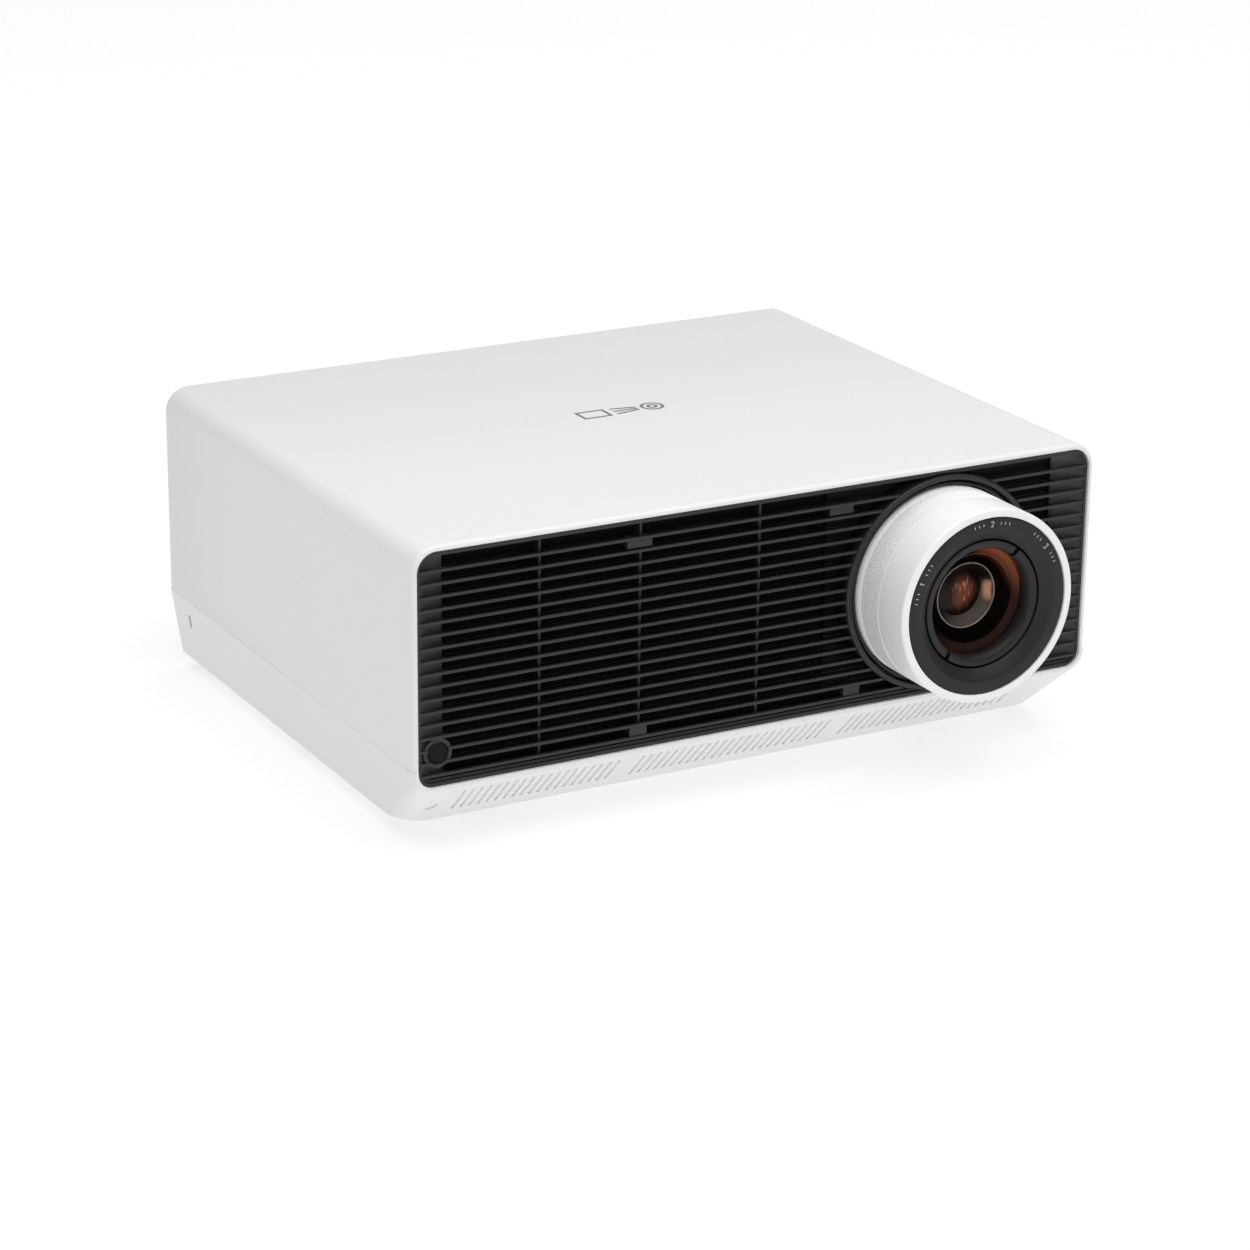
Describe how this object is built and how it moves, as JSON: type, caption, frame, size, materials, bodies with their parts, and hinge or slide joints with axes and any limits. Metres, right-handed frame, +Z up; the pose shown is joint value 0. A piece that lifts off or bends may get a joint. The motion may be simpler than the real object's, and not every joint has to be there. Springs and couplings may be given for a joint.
{
  "type": "home projector",
  "caption": "White slab-shaped projector with a full-width black louvre front, an offset lens with turning zoom and focus rings, screw feet and a rear socket panel.",
  "frame": {"origin": "bottom centre of the whole object, lens and feet included", "axes": "+X to the right seen from the front, +Y from the lens towards the rear panel, +Z up"},
  "size_m": [0.37, 0.328, 0.151],
  "materials": {
    "white_shell": "fine moulded texture",
    "ring_white": "fine moulded texture",
    "grille_black": "satin",
    "collar_black": "satin",
    "filter_foam": "open-cell foam",
    "shroud_black": "matt",
    "window_plastic": "polished, tinted",
    "panel_black": "fine moulded texture",
    "socket_black": "smooth",
    "socket_steel": "plated sheet",
    "button_black": "smooth",
    "nylon_white": "natural nylon",
    "screw_black": "black oxide",
    "insert_brass": "turned",
    "lock_steel": "pressed sheet",
    "foot_rubber": "matt",
    "lens_black": "black anodised",
    "front_glass": "coated",
    "clear_glass": "coated",
    "engine_cast": "die cast",
    "sink_alloy": "extruded",
    "board_green": "solder mask",
    "board_brown": "phenolic board",
    "board_parts": "moulded packages",
    "ribbon_film": "film",
    "chip_mirror": "polished",
    "laser_copper": "machined block",
    "phosphor_disc": "coated disc",
    "motor_steel": "drawn can",
    "fan_black": "glass-filled",
    "wire_brown": "insulated wire",
    "speaker_frame": "pressed",
    "speaker_paper": "pressed paper"
  },
  "bodies": {
    "case": {"top_cover": "white_shell", "base_tray": "white_shell", "front_grille": "grille_black", "lens_collar": "collar_black", "dust_filter": "filter_foam", "lens_shroud": "shroud_black", "ir_window": "window_plastic", "rear_panel": "panel_black", "power_inlet": "socket_black", "hdmi_ports": "socket_steel", "usb_ports": "socket_steel", "lan_port": "socket_steel", "audio_jack": "socket_black", "joystick_bezel": "button_black", "case_screws": "screw_black", "mount_inserts": "insert_brass", "lock_plate": "lock_steel", "rear_feet": "foot_rubber", "foot_nuts": "insert_brass", "lens_barrel": "lens_black", "lens_front_ring": "lens_black", "aperture_stop": "lens_black", "rear_lens": "clear_glass", "engine_housing": "engine_cast", "engine_lid": "engine_cast", "prism": "clear_glass", "mirror_chip": "chip_mirror", "mirror_board": "board_green", "mirror_heatsink": "sink_alloy", "mirror_ribbon": "ribbon_film", "collimator_tube": "engine_cast", "relay_lens": "clear_glass", "wheel_motor": "motor_steel", "laser_module": "laser_copper", "laser_heatsink": "sink_alloy", "fan_frames": "fan_black", "main_board": "board_green", "main_board_parts": "board_parts", "power_board": "board_brown", "power_board_parts": "board_parts", "inlet_wires": "wire_brown", "speaker_frames": "speaker_frame", "speaker_cones": "speaker_paper"},
    "zoom_ring": {"zoom_ring": "ring_white"},
    "focus_ring": {"focus_ring": "ring_white"},
    "focus_group": {"focus_cell": "lens_black", "front_lens": "front_glass"},
    "zoom_group": {"zoom_cell": "lens_black", "zoom_lens": "clear_glass"},
    "left_pad": {"left_foot_pad": "foot_rubber"},
    "left_screw": {"left_foot_screw": "screw_black"},
    "right_pad": {"right_foot_pad": "foot_rubber"},
    "right_screw": {"right_foot_screw": "screw_black"},
    "stick_gimbal": {"joystick_gimbal": "nylon_white"},
    "stick_stem": {"joystick_stem": "nylon_white"},
    "stick_cap": {"joystick_cap": "button_black"},
    "left_fan": {"left_fan_rotor": "fan_black"},
    "right_fan": {"right_fan_rotor": "fan_black"},
    "colour_wheel": {"phosphor_wheel": "phosphor_disc"}
  },
  "joints": [
    {"name": "zoom_turn", "type": "hinge", "parent": "case", "child": "zoom_ring", "pos_m": [0.0996, -0.14, 0.0908], "axis": [0, -1, 0], "range_deg": [-30, 30]},
    {"name": "zoom_shift", "type": "slide", "parent": "case", "child": "zoom_group", "axis": [0, -1, 0], "range_m": [-0.004, 0.004]},
    {"name": "focus_turn", "type": "hinge", "parent": "case", "child": "focus_ring", "pos_m": [0.0996, -0.14, 0.0908], "axis": [0, -1, 0], "range_deg": [-45, 45]},
    {"name": "focus_shift", "type": "slide", "parent": "case", "child": "focus_group", "axis": [0, -1, 0], "range_m": [-0.0015, 0.0015]},
    {"name": "left_foot_drop", "type": "slide", "parent": "case", "child": "left_pad", "axis": [0, 0, -1], "range_m": [0, 0.012]},
    {"name": "left_foot_turn", "type": "hinge", "parent": "left_pad", "child": "left_screw", "pos_m": [-0.125, -0.06, 0], "axis": [0, 0, -1], "range_deg": [0, 1440]},
    {"name": "right_foot_drop", "type": "slide", "parent": "case", "child": "right_pad", "axis": [0, 0, -1], "range_m": [0, 0.012]},
    {"name": "right_foot_turn", "type": "hinge", "parent": "right_pad", "child": "right_screw", "pos_m": [0.125, -0.06, 0], "axis": [0, 0, -1], "range_deg": [0, 1440]},
    {"name": "stick_side", "type": "hinge", "parent": "case", "child": "stick_gimbal", "pos_m": [0.125, 0.146, 0.04], "axis": [0, 0, 1], "range_deg": [-6, 6], "stiffness_Nm_per_rad": 0.05},
    {"name": "stick_tilt", "type": "hinge", "parent": "stick_gimbal", "child": "stick_stem", "pos_m": [0.125, 0.146, 0.04], "axis": [1, 0, 0], "range_deg": [-6, 6], "stiffness_Nm_per_rad": 0.05},
    {"name": "stick_press", "type": "slide", "parent": "stick_stem", "child": "stick_cap", "axis": [0, -1, 0], "range_m": [0, 0.001], "stiffness_N_per_m": 600},
    {"name": "left_fan_spin", "type": "hinge", "parent": "case", "child": "left_fan", "pos_m": [-0.123, -0.0965, 0.0917], "axis": [0, 1, 0], "continuous": true},
    {"name": "right_fan_spin", "type": "hinge", "parent": "case", "child": "right_fan", "pos_m": [-0.039, -0.0965, 0.0917], "axis": [0, 1, 0], "continuous": true},
    {"name": "colour_wheel_spin", "type": "hinge", "parent": "case", "child": "colour_wheel", "pos_m": [0.0026, -0.026, 0.0708], "axis": [1, 0, 0], "continuous": true}
  ],
  "couplings": [
    {"joint": "zoom_shift", "follows": "zoom_turn", "m_per_rad": 0.0076},
    {"joint": "focus_shift", "follows": "focus_turn", "m_per_rad": 0.0019},
    {"joint": "left_foot_turn", "follows": "left_foot_drop", "rad_per_m": 2094.4},
    {"joint": "right_foot_turn", "follows": "right_foot_drop", "rad_per_m": 2094.4}
  ]
}
